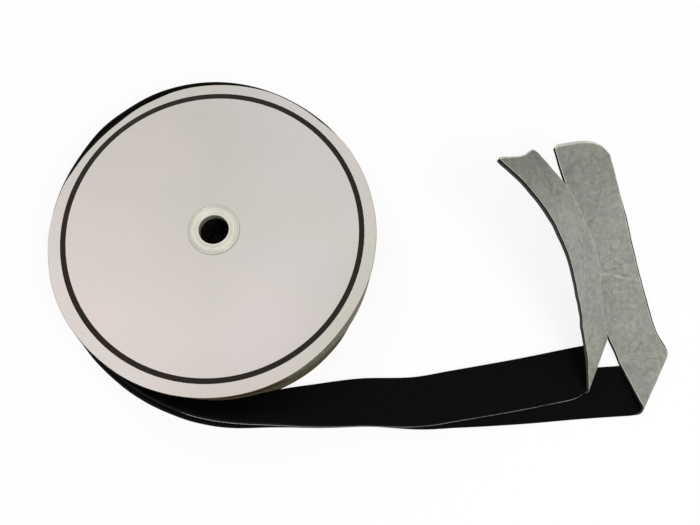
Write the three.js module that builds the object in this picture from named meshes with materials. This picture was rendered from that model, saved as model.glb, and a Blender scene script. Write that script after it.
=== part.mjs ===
// A roll of hook and loop tape lying on its side: a card core with a plastic bush
// in each end, two card discs, the wound pack between them, and the free ends of
// both strips, which leave the roll together, fall flat and are folded over.
// Sizes are in millimetres and angles in degrees. Z is up and the strips run towards +X.

import * as THREE from 'three';

// Tape and liner
const tapeWidth = 50;
const hookTapeThickness = 1;
const loopTapeThickness = 1.2;
const linerThickness = 0.25;
const plyGap = 0.3;

// Card discs and core
const discOverhang = 6.5;
const discThickness = 1.6;
const coreOuterDiameter = 46;
const coreWall = 4.7;
const seatGap = 0.3;

// Plastic bushes
const bushBore = 29.5;
const bushBarrelDiameter = 36;
const bushBarrelReach = 9;
const bushBarrelTaper = 0.5;
const bushFlangeDiameter = 49.5;
const bushFlangeThickness = 2.5;
const bushLipThickness = 1.1;
const bushLipWidth = 1.6;
const bushBeadRadius = 1.4;
const bushMouthRadius = 0.9;

// The wound pack and the outer turn of both strips
const packDiameter = 308;
const turnGap = 0.5;
const leaveAngle = 225;
const slackBulge = 4.6;
const slackAngle = 103;
const slackHalfSpan = 52;
const looseStartAngle = 200;
const looseRise = 3;

// The lead, from where the strips leave the roll to where each is folded
const tangentAngle = 286;
const leadHeading = 8.6;
const leadRun = 366;
const hookLeadShare = 0.861;
const leadFallLength = 380;
const settleStart = 20;
const settleLength = 60;
const partingStart = 112;
const partingEase = 40;
const partingAngle = 6.5;
const leadSideShares = [
  [0, 0], [0.103, 0.01], [0.215, 0.02], [0.284, 0], [0.422, -0.12], [0.525, -0.1], [0.714, -0.05],
  [0.861, 0.01], [1.04, 0.05],
];

// The folded ends. A bend above zero curves towards the liner, and a twist lowers the inner edge.
const foldMargin = 1;
const hookFoldRadius = 2.5;
const hookStraight = 5;
const hookRiseLength = 113;
const hookTipLength = 98;
const hookSlantCut = 13;
const hookEnd = {
  foldLineAngle: 66, foldAngle: 128, foldRadius: hookFoldRadius, straight: hookStraight,
  bends: [
    { length: hookRiseLength, bend: -6, twist: 3 },
    { length: hookTipLength, bend: -37.5, twist: 6.5 },
  ],
  slantCut: hookSlantCut,
};
const loopFoldRadius = 2.5;
const loopStraight = 26;
const loopRiseLength = 42;
const loopTipLength = 150;
const loopSlantCut = 15;
const loopEnd = {
  foldLineAngle: 60.1, foldAngle: 181, foldRadius: loopFoldRadius, straight: loopStraight,
  bends: [
    { length: loopRiseLength, bend: 30.4, twist: -4.6 },
    { length: loopTipLength, bend: -5.7, twist: -25.3 },
  ],
  slantCut: loopSlantCut,
};

// Facets
const turnSteps = 60;
const leadStep = 9;
const foldSteps = 10;
const bendStep = 9;
const discSides = 96;
const bushSides = 48;
const bushArcSteps = 4;

// Heights, from the underside of the back bush up
const backDiscBase = bushFlangeThickness + seatGap;
const packBase = backDiscBase + discThickness + seatGap;
const frontDiscBase = packBase + tapeWidth + seatGap;
const frontBushBase = frontDiscBase + discThickness + seatGap;

// Depths of the plies behind the black face of the hook tape
const hookLinerDepth = hookTapeThickness + plyGap;
const loopTapeDepth = hookLinerDepth + linerThickness + plyGap;
const loopLinerDepth = loopTapeThickness + plyGap;
const stackDepth = loopTapeDepth + loopLinerDepth + linerThickness;

const turnPitch = stackDepth + turnGap;
const turnStartAngle = leaveAngle - 360;
const turnStartRadius = packDiameter / 2 + seatGap;

const rad = THREE.MathUtils.degToRad;
const smooth = (value) => THREE.MathUtils.smoothstep(value, 0, 1);
const up = new THREE.Vector3(0, 0, 1);

function material(color, roughness) {
  return new THREE.MeshStandardMaterial({ color, roughness, metalness: 0 });
}

const materials = {
  cream: material(0xe9e4d8, 0.4),
  board: material(0xcfc9c2, 0.7),
  core: material(0xa08a6a, 0.9),
  hook: material(0x0b0b0b, 0.85),
  loop: material(0x111111, 0.95),
  liner: material(0x92938a, 0.6),
};

function named(name, geometry, surface) {
  const mesh = new THREE.Mesh(geometry, surface);
  mesh.name = name;
  return mesh;
}

// A closed outline of [radius, height] points turned about the Z axis.
function turned(outline, sides) {
  const points = outline.map(([radius, height]) => new THREE.Vector2(radius, height));
  points.push(points[0].clone());
  const geometry = new THREE.LatheGeometry(points, sides);
  geometry.rotateX(Math.PI / 2);
  return geometry;
}

function ringOutline(innerRadius, outerRadius, base, top) {
  return [[innerRadius, base], [outerRadius, base], [outerRadius, top], [innerRadius, top]];
}

// Points on a round stretch of an outline, from one angle to another.
function arc(centreRadius, centreHeight, radius, from, to) {
  const points = [];
  for (let i = 0; i <= bushArcSteps; i += 1) {
    const angle = rad(from + ((to - from) * i) / bushArcSteps);
    points.push([centreRadius + radius * Math.cos(angle), centreHeight + radius * Math.sin(angle)]);
  }
  return points;
}

// The moulded bush, flange up, with its seating face at height zero.
function bushGeometry() {
  const bore = bushBore / 2;
  const barrel = bushBarrelDiameter / 2;
  const flange = bushFlangeDiameter / 2;
  const lipRound = bushLipThickness / 2;
  const beadRadius = Math.min(bushBeadRadius, bushFlangeThickness - bushLipThickness);
  const beadEdge = flange - bushLipWidth;
  return turned([
    [bore, -bushBarrelReach],
    [barrel - bushBarrelTaper, -bushBarrelReach],
    [barrel, 0],
    ...arc(flange - lipRound, lipRound, lipRound, -90, 90),
    [beadEdge, bushLipThickness],
    ...arc(beadEdge - beadRadius, bushFlangeThickness - beadRadius, beadRadius, 0, 90),
    ...arc(bore + bushMouthRadius, bushFlangeThickness - bushMouthRadius, bushMouthRadius, 90, 180),
  ], bushSides);
}

function bush(name, height, flipped) {
  const mesh = named(name, bushGeometry(), materials.cream);
  mesh.position.z = height;
  if (flipped) mesh.rotation.x = Math.PI;
  return mesh;
}

function disc(name, base) {
  const hole = bushBarrelDiameter / 2 + seatGap;
  const rim = packDiameter / 2 + discOverhang;
  const outline = ringOutline(hole, rim, base, base + discThickness);
  return named(name, turned(outline, discSides), materials.board);
}

function coreTube() {
  const outer = coreOuterDiameter / 2;
  const outline = ringOutline(outer - coreWall, outer, packBase, packBase + tapeWidth);
  return named('core_tube', turned(outline, bushSides), materials.core);
}

function woundPack() {
  const inner = coreOuterDiameter / 2 + seatGap;
  const outline = ringOutline(inner, packDiameter / 2, packBase, packBase + tapeWidth);
  return named('wound_pack', turned(outline, turnSteps), materials.hook);
}

// A station is a line across the black face of a strip: its inner end, which is the lower
// one while the strip stands, its outer end, and the direction that the liner faces.
function station(inner, outer, back) {
  return { inner, outer, back };
}

// A plate between two depths behind the black face, along a list of stations.
function plate(name, stations, nearDepth, thickness, surface) {
  const farDepth = nearDepth + thickness;
  const corners = [['inner', nearDepth], ['outer', nearDepth], ['outer', farDepth], ['inner', farDepth]];
  const positions = [];
  for (const item of stations) {
    for (const [end, depth] of corners) {
      positions.push(...item[end].clone().addScaledVector(item.back, depth).toArray());
    }
  }
  // Both faces are split along the same diagonal, so that twisted plies stay parallel.
  const count = corners.length;
  const indices = [0, 3, 2, 0, 2, 1];
  for (let i = 0; i + 1 < stations.length; i += 1) {
    const [a, b, c, d] = corners.map((_, k) => i * count + k);
    const [e, f, g, h] = corners.map((_, k) => (i + 1) * count + k);
    indices.push(a, b, f, a, f, e);
    indices.push(b, c, g, b, g, f);
    indices.push(c, d, g, d, h, g);
    indices.push(d, a, e, d, e, h);
  }
  const last = (stations.length - 1) * count;
  indices.push(last, last + 1, last + 2, last, last + 2, last + 3);
  const geometry = new THREE.BufferGeometry();
  geometry.setAttribute('position', new THREE.Float32BufferAttribute(positions, 3));
  geometry.setIndex(indices);
  geometry.computeVertexNormals();
  return named(name, geometry, surface);
}

// The spiral of the outer turn, which rides up over its own start and loosens as it leaves.
function turnRadius(angle) {
  const spiral = turnStartRadius + (turnPitch * (angle - turnStartAngle)) / 360;
  const loose = looseRise * smooth((angle - looseStartAngle) / (tangentAngle - looseStartAngle));
  return spiral + loose;
}

// The outer strip stands off the roll in one slack stretch.
function slack(angle) {
  const share = (angle - slackAngle) / slackHalfSpan;
  return Math.abs(share) < 1 ? slackBulge * Math.cos((share * Math.PI) / 2) ** 2 : 0;
}

function turnStation(angle, bulge) {
  const outwards = new THREE.Vector3(Math.cos(rad(angle)), Math.sin(rad(angle)), 0);
  const inner = outwards.clone().multiplyScalar(turnRadius(angle) + bulge);
  inner.z = packBase;
  return station(inner, inner.clone().addScaledVector(up, tapeWidth), outwards);
}

function turnStations(bulgeAt) {
  const endAngle = leaveAngle - THREE.MathUtils.radToDeg(seatGap / turnRadius(leaveAngle));
  const stations = [];
  for (let i = 0; i <= turnSteps; i += 1) {
    const angle = turnStartAngle + ((endAngle - turnStartAngle) * i) / turnSteps;
    stations.push(turnStation(angle, bulgeAt(angle)));
  }
  return stations;
}

// The lead's lower edge seen from above: an arc round the roll, then a run out to one side.
function leadRoute() {
  const start = turnStation(tangentAngle, 0).inner;
  const along = new THREE.Vector3(Math.cos(rad(leadHeading)), Math.sin(rad(leadHeading)), 0);
  const aside = new THREE.Vector3(-along.y, along.x, 0);
  const points = leadSideShares.map(([runShare, sideShare]) => start.clone()
    .addScaledVector(along, runShare * leadRun)
    .addScaledVector(aside, sideShare * tapeWidth));
  return new THREE.CatmullRomCurve3(points, false, 'centripetal');
}

const arcLength = rad(tangentAngle - leaveAngle) * turnRadius(leaveAngle);
const route = leadRoute();
const routeLength = route.getLength();

// How far the loop strip has swung away from the hook strip.
function parting(run) {
  const past = Math.max(run - partingStart, 0);
  const eased = past < partingEase ? (past * past) / (2 * partingEase) : past - partingEase / 2;
  return eased * Math.tan(rad(partingAngle));
}

// The station at a distance along the lower edge from where the strips leave the roll.
function leadStation(distance, partingAt) {
  const run = distance - arcLength;
  let foot;
  let heading;
  if (run < 0) {
    const angle = tangentAngle + THREE.MathUtils.radToDeg(run / turnRadius(leaveAngle));
    foot = turnStation(angle, 0).inner;
    heading = new THREE.Vector3(-Math.sin(rad(angle)), Math.cos(rad(angle)), 0);
  } else {
    foot = route.getPointAt(run / routeLength);
    heading = route.getTangentAt(run / routeLength);
  }
  const aside = new THREE.Vector3(heading.y, -heading.x, 0);
  const lean = rad(90) * smooth(distance / leadFallLength);
  const across = up.clone().multiplyScalar(Math.cos(lean)).addScaledVector(aside, Math.sin(lean));
  const inner = foot.addScaledVector(aside, partingAt(run));
  inner.z = packBase + (stackDepth - packBase) * smooth((run - settleStart) / settleLength);
  const outer = inner.clone().addScaledVector(across, tapeWidth);
  return station(inner, outer, heading.clone().cross(across));
}

// Both strips have their stations at the same distances, so that they don't cut each other.
function leadStations(run, partingAt) {
  const length = arcLength + run;
  const stations = [];
  for (let i = 0; (i + 0.5) * leadStep < length; i += 1) stations.push(leadStation(i * leadStep, partingAt));
  stations.push(leadStation(length, partingAt));
  return stations;
}

function sunk(stations, depth) {
  return stations.map(({ inner, outer, back }) => station(
    inner.clone().addScaledVector(back, depth),
    outer.clone().addScaledVector(back, depth),
    back,
  ));
}

// The folded end of a strip whose lead ends flat. The fold turns the strip over about a slanting
// line, round a cylinder, and the strip then rises, bends and twists to its slanting cut.
function endStations(leadStationsList, fold) {
  const last = leadStationsList[leadStationsList.length - 1];
  const left = last.inner.clone().sub(last.outer).normalize();
  let forward = left.clone().cross(last.back).negate();
  const rise = last.back.clone().negate();
  const heading = THREE.MathUtils.radToDeg(Math.atan2(forward.y, forward.x));
  const slope = rad(fold.foldLineAngle - heading);
  const line = forward.clone().multiplyScalar(Math.cos(slope)).addScaledVector(left, Math.sin(slope));
  const ahead = forward.clone().multiplyScalar(Math.sin(slope)).addScaledVector(left, -Math.cos(slope));
  const slant = tapeWidth / Math.tan(slope);

  let inner = last.inner.clone().addScaledVector(forward, seatGap);
  let outer = last.outer.clone().addScaledVector(forward, seatGap);
  const stations = [station(inner, outer, last.back)];

  const foldInner = inner.clone().addScaledVector(forward, foldMargin + slant);
  const foldOuter = outer.clone().addScaledVector(forward, foldMargin);
  for (let i = 0; i <= foldSteps; i += 1) {
    const angle = (rad(fold.foldAngle) * i) / foldSteps;
    const shift = line.clone().multiplyScalar((fold.foldRadius * angle) / Math.tan(slope))
      .addScaledVector(ahead, fold.foldRadius * Math.sin(angle))
      .addScaledVector(rise, fold.foldRadius * (1 - Math.cos(angle)));
    const back = rise.clone().multiplyScalar(-Math.cos(angle)).addScaledVector(ahead, Math.sin(angle));
    stations.push(station(foldInner.clone().add(shift), foldOuter.clone().add(shift), back));
  }

  const turn = rad(fold.foldAngle);
  const away = ahead.clone().multiplyScalar(Math.cos(turn)).addScaledVector(rise, Math.sin(turn));
  forward = line.clone().multiplyScalar(Math.cos(slope)).addScaledVector(away, Math.sin(slope));
  const width = line.clone().multiplyScalar(Math.sin(slope)).addScaledVector(away, -Math.cos(slope));
  const folded = stations[stations.length - 1];
  inner = folded.inner.clone().addScaledVector(forward, foldMargin);
  const middle = inner.clone().addScaledVector(width, -tapeWidth / 2);
  const place = () => {
    const innerEnd = middle.clone().addScaledVector(width, tapeWidth / 2);
    const outerEnd = middle.clone().addScaledVector(width, -tapeWidth / 2);
    stations.push(station(innerEnd, outerEnd, width.clone().cross(forward)));
  };
  place();
  middle.addScaledVector(forward, fold.straight);
  place();
  for (const { length, bend, twist } of fold.bends) {
    const steps = Math.round(length / bendStep);
    for (let i = 0; i < steps; i += 1) {
      forward.applyAxisAngle(width, rad(bend) / steps);
      width.applyAxisAngle(forward, rad(twist) / steps);
      middle.addScaledVector(forward, length / steps);
      place();
    }
  }
  const tip = stations[stations.length - 1];
  inner = tip.inner.clone().addScaledVector(forward, foldMargin);
  outer = tip.outer.clone().addScaledVector(forward, foldMargin + fold.slantCut);
  stations.push(station(inner, outer, tip.back));
  return stations;
}

// The least distance between the start of the outer turn and the lead that passes over it.
function leastTurnGap(turnList, leadList) {
  const covered = sunk(turnList, stackDepth);
  let least = Infinity;
  for (const over of leadList) {
    for (const under of covered) least = Math.min(least, over.inner.distanceTo(under.inner));
  }
  return least;
}

const hookTurn = turnStations(() => 0);
const loopTurn = sunk(turnStations(slack), loopTapeDepth);
const hookLead = leadStations(leadRun * hookLeadShare, () => 0);
const loopLead = sunk(leadStations(leadRun, parting), loopTapeDepth);
const hookFolded = endStations(hookLead, hookEnd);
const loopFolded = endStations(loopLead, loopEnd);

console.log(`least gap of the outer turn to itself: ${leastTurnGap(hookTurn, hookLead).toFixed(2)} mm`);

const part = new THREE.Group();
part.add(bush('bush_back', backDiscBase - seatGap, true));
part.add(disc('back_disc', backDiscBase));
part.add(coreTube());
part.add(woundPack());
part.add(disc('front_disc', frontDiscBase));
part.add(bush('bush_front', frontBushBase, false));
for (const [stretch, hookStations, loopStations] of [
  ['turn', hookTurn, loopTurn], ['lead', hookLead, loopLead], ['end', hookFolded, loopFolded],
]) {
  part.add(plate(`hook_tape_${stretch}`, hookStations, 0, hookTapeThickness, materials.hook));
  part.add(plate(`hook_liner_${stretch}`, hookStations, hookLinerDepth, linerThickness, materials.liner));
  part.add(plate(`loop_tape_${stretch}`, loopStations, 0, loopTapeThickness, materials.loop));
  part.add(plate(`loop_liner_${stretch}`, loopStations, loopLinerDepth, linerThickness, materials.liner));
}

// The origin is the middle of the underside of everything.
const extent = new THREE.Box3().setFromObject(part);
const centre = extent.getCenter(new THREE.Vector3());
part.position.set(-centre.x, -centre.y, -extent.min.z);

export default part;
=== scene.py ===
"""Dresses the tape roll: discs, bushes, wound pack, and both lined strips from the roll to the folds."""

import math

import bpy
import numpy as np
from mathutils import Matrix, Vector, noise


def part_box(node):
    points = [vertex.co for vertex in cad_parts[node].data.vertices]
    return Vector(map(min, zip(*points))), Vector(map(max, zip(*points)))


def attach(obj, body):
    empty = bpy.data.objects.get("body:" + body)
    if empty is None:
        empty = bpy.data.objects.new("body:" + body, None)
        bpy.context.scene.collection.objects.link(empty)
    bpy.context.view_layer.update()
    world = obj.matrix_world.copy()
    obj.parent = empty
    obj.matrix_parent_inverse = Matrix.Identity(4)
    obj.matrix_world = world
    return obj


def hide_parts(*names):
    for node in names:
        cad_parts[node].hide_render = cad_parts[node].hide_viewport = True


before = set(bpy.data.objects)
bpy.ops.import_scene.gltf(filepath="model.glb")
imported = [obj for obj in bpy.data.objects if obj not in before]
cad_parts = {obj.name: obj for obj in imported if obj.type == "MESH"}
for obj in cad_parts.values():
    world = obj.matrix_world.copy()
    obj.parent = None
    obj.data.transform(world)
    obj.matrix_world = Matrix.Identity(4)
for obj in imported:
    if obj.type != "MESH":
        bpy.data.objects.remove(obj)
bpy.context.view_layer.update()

MM = 0.001
WHITE = (255, 255, 255)
core_low, core_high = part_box("core_tube")
AXIS_X = (core_low[0] + core_high[0]) / 2
AXIS_Y = (core_low[1] + core_high[1]) / 2

# ---- Sizes in millimetres, as in the part's source
TAPE_WIDTH = 50
HOOK_TAPE = 1.0
LOOP_TAPE = 1.2
LINER = 0.25
PLY_GAP = 0.3
DISC_RADIUS = 160.5
DISC_THICKNESS = 1.6
RING_INNER, RING_OUTER = 143.6, 149
SEAT_GAP = 0.3
CORE_RADIUS = 23
BUSH_BORE = 29.5
BUSH_BARREL = 36
BUSH_REACH = 9
BUSH_FLANGE = 49.5
BUSH_FLANGE_THICKNESS = 2.5
PACK_RADIUS = 154
TURN_GAP = 0.5
LEAVE_ANGLE = 225
TANGENT_ANGLE = 286
LOOSE_START, LOOSE_RISE = 200, 3
SLACK_BULGE, SLACK_ANGLE, SLACK_HALF = 4.6, 103, 52
SLACK_WAVES = ((1.5, 137, 9), (0.6, 115, 9))
LEAD_HEADING = 8.6
LEAD_RUN = 366
SETTLE_START, SETTLE_LENGTH = 20, 60
PARTING_START, PARTING_EASE, PARTING_ANGLE = 112, 40, 6.5
# The lead's sideways wander in tape widths, by share of the lead's run.
LEAD_SIDE_SHARES = [
    (0, 0), (0.103, 0.01), (0.215, 0.02), (0.284, 0), (0.422, -0.12), (0.525, -0.1), (0.714, -0.05),
    (0.861, 0.01), (1.04, 0.05),
]
FOLD_MARGIN = 1
# Each free end: where the lead ends, the fold's line, angle and radius, then stretches of
# (length, bend, twist).
HOOK_END = dict(run=316.9, line=67, angle=122.6, radius=2, stretches=[
    (28, -8.4, 0.4), (28, 4.2, 0), (28, 0.3, -2), (28, -9.8, 0.8), (28, -9.3, 3.2), (28, -6.7, 0.5),
    (28, -9.4, -0.3), (27, -10.8, -0.7),
])
LOOP_END = dict(run=360.9, line=60.4, angle=192.5, radius=4.3, stretches=[
    (12, 6.2, 11.2), (12, 10.8, -3.5), (12, 10.7, -5.5), (16, 6.7, -1), (16, 3.5, 2.3), (20, 3.2, 2.7),
    (24, -1.2, -0.5), (24, -2.2, -0.6), (24, -1.8, 0.2), (24, -1.6, -0.6), (30, -1.3, -4.1),
])
# How far each tip is cut past the last stretch, in millimetres, by share of the width from the inner edge.
HOOK_CUT = [
    (0, -6), (0.04, -5), (0.1, -4.5), (0.35, -4), (0.5, -1.5), (0.65, 2.5), (0.8, 7), (0.9, 9.5), (1, 10),
]
LOOP_CUT = [
    (0, -8), (0.04, -3.5), (0.08, 1), (0.12, 4), (0.18, 6.5), (0.25, 9.5), (0.35, 12), (0.5, 14.5),
    (0.65, 16), (0.8, 17.5), (0.9, 18.5), (0.95, 17.5), (1, 15),
]
END_REACH = 30
# The tip's cut is drawn out over CUT_REACH, and from the second distance past the fold the sides take a
# painted sheen.
CUT_REACH = 24
SHEEN_START = 12
# The loop strip's crosswise crease: past the fold at the inner edge, and how much farther at the outer.
CREASE_AT, CREASE_SLANT = 135.4, 26.5
# The front bush sits this far off the axis in its loose card disc.
FRONT_BUSH_OFF = (1.1, 0.9)

BACK_DISC_BASE = BUSH_FLANGE_THICKNESS + SEAT_GAP
PACK_BASE = BACK_DISC_BASE + DISC_THICKNESS + SEAT_GAP
FRONT_DISC_BASE = PACK_BASE + TAPE_WIDTH + SEAT_GAP
FRONT_BUSH_BASE = FRONT_DISC_BASE + DISC_THICKNESS + SEAT_GAP
HOOK_LINER_DEPTH = HOOK_TAPE + PLY_GAP
LOOP_TAPE_DEPTH = HOOK_LINER_DEPTH + LINER + PLY_GAP
LOOP_LINER_DEPTH = LOOP_TAPE + PLY_GAP
STACK = LOOP_TAPE_DEPTH + LOOP_LINER_DEPTH + LINER
PITCH = STACK + TURN_GAP
START_ANGLE = LEAVE_ANGLE - 360
START_RADIUS = PACK_RADIUS + SEAT_GAP
UP = np.array([0.0, 0.0, 1.0])


def smooth(x):
    x = min(max(x, 0.0), 1.0)
    return x * x * (3 - 2 * x)


def curve(blur, *keys):
    """A value through (place, value) keys, smoothed over about blur."""
    places, values = zip(*keys)
    grid = np.arange(places[0] - 4 * blur, places[-1] + 4 * blur, blur / 5)
    kernel = np.exp(-0.5 * (np.arange(-15, 16) / 5) ** 2)
    soft = np.convolve(np.interp(grid, places, values), kernel / kernel.sum(), "same")
    soft[:15], soft[-15:] = values[0], values[-1]
    return lambda place: float(np.interp(place, grid, soft))


# The strips' lean outward by distance from where they leave the roll, in degrees.
LEAN = curve(14, (0, 0), (50, 4.3), (100, 14.9), (141, 26), (169, 37), (200, 51), (249, 66), (289, 73),
             (319, 76), (350, 81), (390, 86), (430, 90))
# How far their lower edge is drawn in toward the reel, by distance past the tangent.
TUCK = curve(10, (-150, 0), (-60, 0.9), (-20, 1.2), (5, 2), (24, 3.9), (45, 3), (60, 2.4), (140, 1.9),
             (220, 1), (300, 0))
# How far the loop strip's upper edge stands off the hook strip, by angle round the reel.
STAND_OFF = curve(1.5, (225, 0), (230, 0.9), (235, 1.2), (240, 1.9), (245, 2.6), (252, 2.8), (260, 2.8),
                  (266, 3.4), (270, 3.3), (275, 3.6), (280, 2.9), (286, 1.5), (292, 0.5), (300, 0))


# ---- Camera, from the fit to the photograph: metres from the reel's axis, degrees, millimetres

CAMERA_X, CAMERA_Y, CAMERA_HEIGHT = 0.1348, -0.2097, 0.7142
CAMERA_TILT = 15.11
CAMERA_LENS = 36.1


def make_camera():
    data = bpy.data.cameras.new("camera")
    data.sensor_fit = "HORIZONTAL"
    data.sensor_width = 36
    data.lens = CAMERA_LENS
    data.clip_end = 20
    cam = bpy.data.objects.new("camera", data)
    cam.location = (AXIS_X + CAMERA_X, AXIS_Y + CAMERA_Y, CAMERA_HEIGHT)
    cam.rotation_euler = (math.radians(CAMERA_TILT), 0, 0)
    bpy.context.collection.objects.link(cam)
    bpy.context.scene.camera = cam


# ---- Materials

class Shader:
    """A Principled material with short calls for the nodes it uses."""

    def __init__(self, name, roughness=0.6, specular=0.5):
        self.mat = bpy.data.materials.new(name)
        self.mat.use_nodes = True
        self.tree = self.mat.node_tree
        self.bsdf = self.tree.nodes["Principled BSDF"]
        self.bsdf.inputs["Roughness"].default_value = roughness
        self.bsdf.inputs["Specular IOR Level"].default_value = specular
        self.coord = self.tree.nodes.new("ShaderNodeTexCoord")

    def link(self, a, b):
        self.tree.links.new(a, b)

    def noise(self, scale, detail=2, rough=0.5, space="Object", stretch=None):
        n = self.tree.nodes.new("ShaderNodeTexNoise")
        n.inputs["Scale"].default_value = scale
        n.inputs["Detail"].default_value = detail
        n.inputs["Roughness"].default_value = rough
        self.link(self.place(space, stretch), n.inputs["Vector"])
        return n.outputs["Fac"]

    def voronoi(self, scale, space="Object", stretch=None):
        n = self.tree.nodes.new("ShaderNodeTexVoronoi")
        n.inputs["Scale"].default_value = scale
        self.link(self.place(space, stretch), n.inputs["Vector"])
        return n.outputs["Distance"]

    def field(self, scale, detail, reach):
        """The object coordinates pushed about by up to reach metres."""
        n = self.tree.nodes.new("ShaderNodeTexNoise")
        n.inputs["Scale"].default_value = scale
        n.inputs["Detail"].default_value = detail
        self.link(self.coord.outputs["Object"], n.inputs["Vector"])
        m = self.tree.nodes.new("ShaderNodeVectorMath")
        m.operation = "MULTIPLY_ADD"
        m.inputs[1].default_value = (reach, reach, reach)
        self.link(n.outputs["Color"], m.inputs[0])
        self.link(self.coord.outputs["Object"], m.inputs[2])
        return m.outputs["Vector"]

    def cells(self, scale, vector):
        n = self.tree.nodes.new("ShaderNodeTexVoronoi")
        n.feature = "DISTANCE_TO_EDGE"
        n.inputs["Scale"].default_value = scale
        self.link(vector, n.inputs["Vector"])
        return n.outputs["Distance"]

    def wave(self, scale, direction, distortion):
        """Bands along the strip's own coordinates."""
        n = self.tree.nodes.new("ShaderNodeTexWave")
        n.bands_direction = direction
        n.inputs["Scale"].default_value = scale
        n.inputs["Distortion"].default_value = distortion
        self.link(self.coord.outputs["UV"], n.inputs["Vector"])
        return n.outputs["Fac"]

    def place(self, space, stretch):
        out = self.coord.outputs[space]
        if stretch is None:
            return out
        m = self.tree.nodes.new("ShaderNodeMapping")
        m.inputs["Scale"].default_value = stretch
        self.link(out, m.inputs["Vector"])
        return m.outputs["Vector"]

    def math(self, kind, a, b):
        n = self.tree.nodes.new("ShaderNodeMath")
        n.operation = kind
        for i, value in enumerate((a, b)):
            if isinstance(value, (int, float)):
                n.inputs[i].default_value = value
            else:
                self.link(value, n.inputs[i])
        return n.outputs[0]

    def apart(self, a, b):
        """How far a is from b, whichever is larger."""
        return self.math("ABSOLUTE", self.math("SUBTRACT", a, b), 0.0)

    def ramp(self, source, stops):
        n = self.tree.nodes.new("ShaderNodeValToRGB")
        ramp = n.color_ramp
        while len(ramp.elements) < len(stops):
            ramp.elements.new(0.5)
        for element, (at, colour) in zip(ramp.elements, stops):
            element.position = at
            element.color = (*linear(colour), 1)
        self.link(source, n.inputs["Fac"])
        return n.outputs["Color"]

    def mix(self, kind, fac, a, b):
        n = self.tree.nodes.new("ShaderNodeMix")
        n.data_type = "RGBA"
        n.blend_type = kind
        if isinstance(fac, (int, float)):
            n.inputs["Factor"].default_value = fac
        else:
            self.link(fac, n.inputs["Factor"])
        for socket, value in ((n.inputs[6], a), (n.inputs[7], b)):
            if isinstance(value, tuple):
                socket.default_value = (*linear(value), 1)
            else:
                self.link(value, socket)
        return n.outputs[2]

    def span(self, source, low, high, to_low, to_high):
        n = self.tree.nodes.new("ShaderNodeMapRange")
        for key, value in (("From Min", low), ("From Max", high), ("To Min", to_low), ("To Max", to_high)):
            n.inputs[key].default_value = value
        self.link(source, n.inputs["Value"])
        return n.outputs["Result"]

    def slope(self, way):
        """0 to 1 across the reel along the direction way."""
        n = self.tree.nodes.new("ShaderNodeVectorMath")
        n.operation = "DOT_PRODUCT"
        n.inputs[1].default_value = (*way, 0)
        self.link(self.coord.outputs["Object"], n.inputs[0])
        middle = AXIS_X * way[0] + AXIS_Y * way[1]
        return self.span(n.outputs["Value"], middle - 0.16, middle + 0.16, 0.0, 1.0)

    def away(self, off=(0, 0)):
        """The distance in metres from the reel's axis, or from a line off millimetres beside it."""
        n = self.tree.nodes.new("ShaderNodeVectorMath")
        n.operation = "MULTIPLY_ADD"
        n.inputs[1].default_value = (1, 1, 0)
        n.inputs[2].default_value = (-AXIS_X - off[0] * MM, -AXIS_Y - off[1] * MM, 0)
        self.link(self.coord.outputs["Object"], n.inputs[0])
        m = self.tree.nodes.new("ShaderNodeVectorMath")
        m.operation = "LENGTH"
        self.link(n.outputs[0], m.inputs[0])
        return m.outputs["Value"]

    def strip_place(self):
        """Millimetres across and along a strip."""
        n = self.tree.nodes.new("ShaderNodeSeparateXYZ")
        self.link(self.coord.outputs["UV"], n.inputs[0])
        return n.outputs["X"], n.outputs["Y"]

    def colour(self, source):
        if isinstance(source, tuple):
            self.bsdf.inputs["Base Color"].default_value = (*linear(source), 1)
        else:
            self.link(source, self.bsdf.inputs["Base Color"])

    def roughness(self, source):
        self.link(source, self.bsdf.inputs["Roughness"])

    def bump(self, *layers):
        """Each layer is (height, strength, distance in metres)."""
        normal = None
        for height, strength, distance in layers:
            n = self.tree.nodes.new("ShaderNodeBump")
            n.inputs["Strength"].default_value = strength
            n.inputs["Distance"].default_value = distance
            self.link(height, n.inputs["Height"])
            if normal is not None:
                self.link(normal, n.inputs["Normal"])
            normal = n.outputs["Normal"]
        self.link(normal, self.bsdf.inputs["Normal"])


def linear(colour):
    """An sRGB colour from 0 to 255 as linear light."""
    out = []
    for value in colour:
        v = value / 255
        out.append(v / 12.92 if v <= 0.04045 else ((v + 0.055) / 1.055) ** 2.4)
    return tuple(out)


# A painted contact shadow round the front bush's flange on the card: its radius and width in metres.
FLANGE_SHADOW_RADIUS, FLANGE_SHADOW_WIDTH = 0.0252, 0.0009


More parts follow.
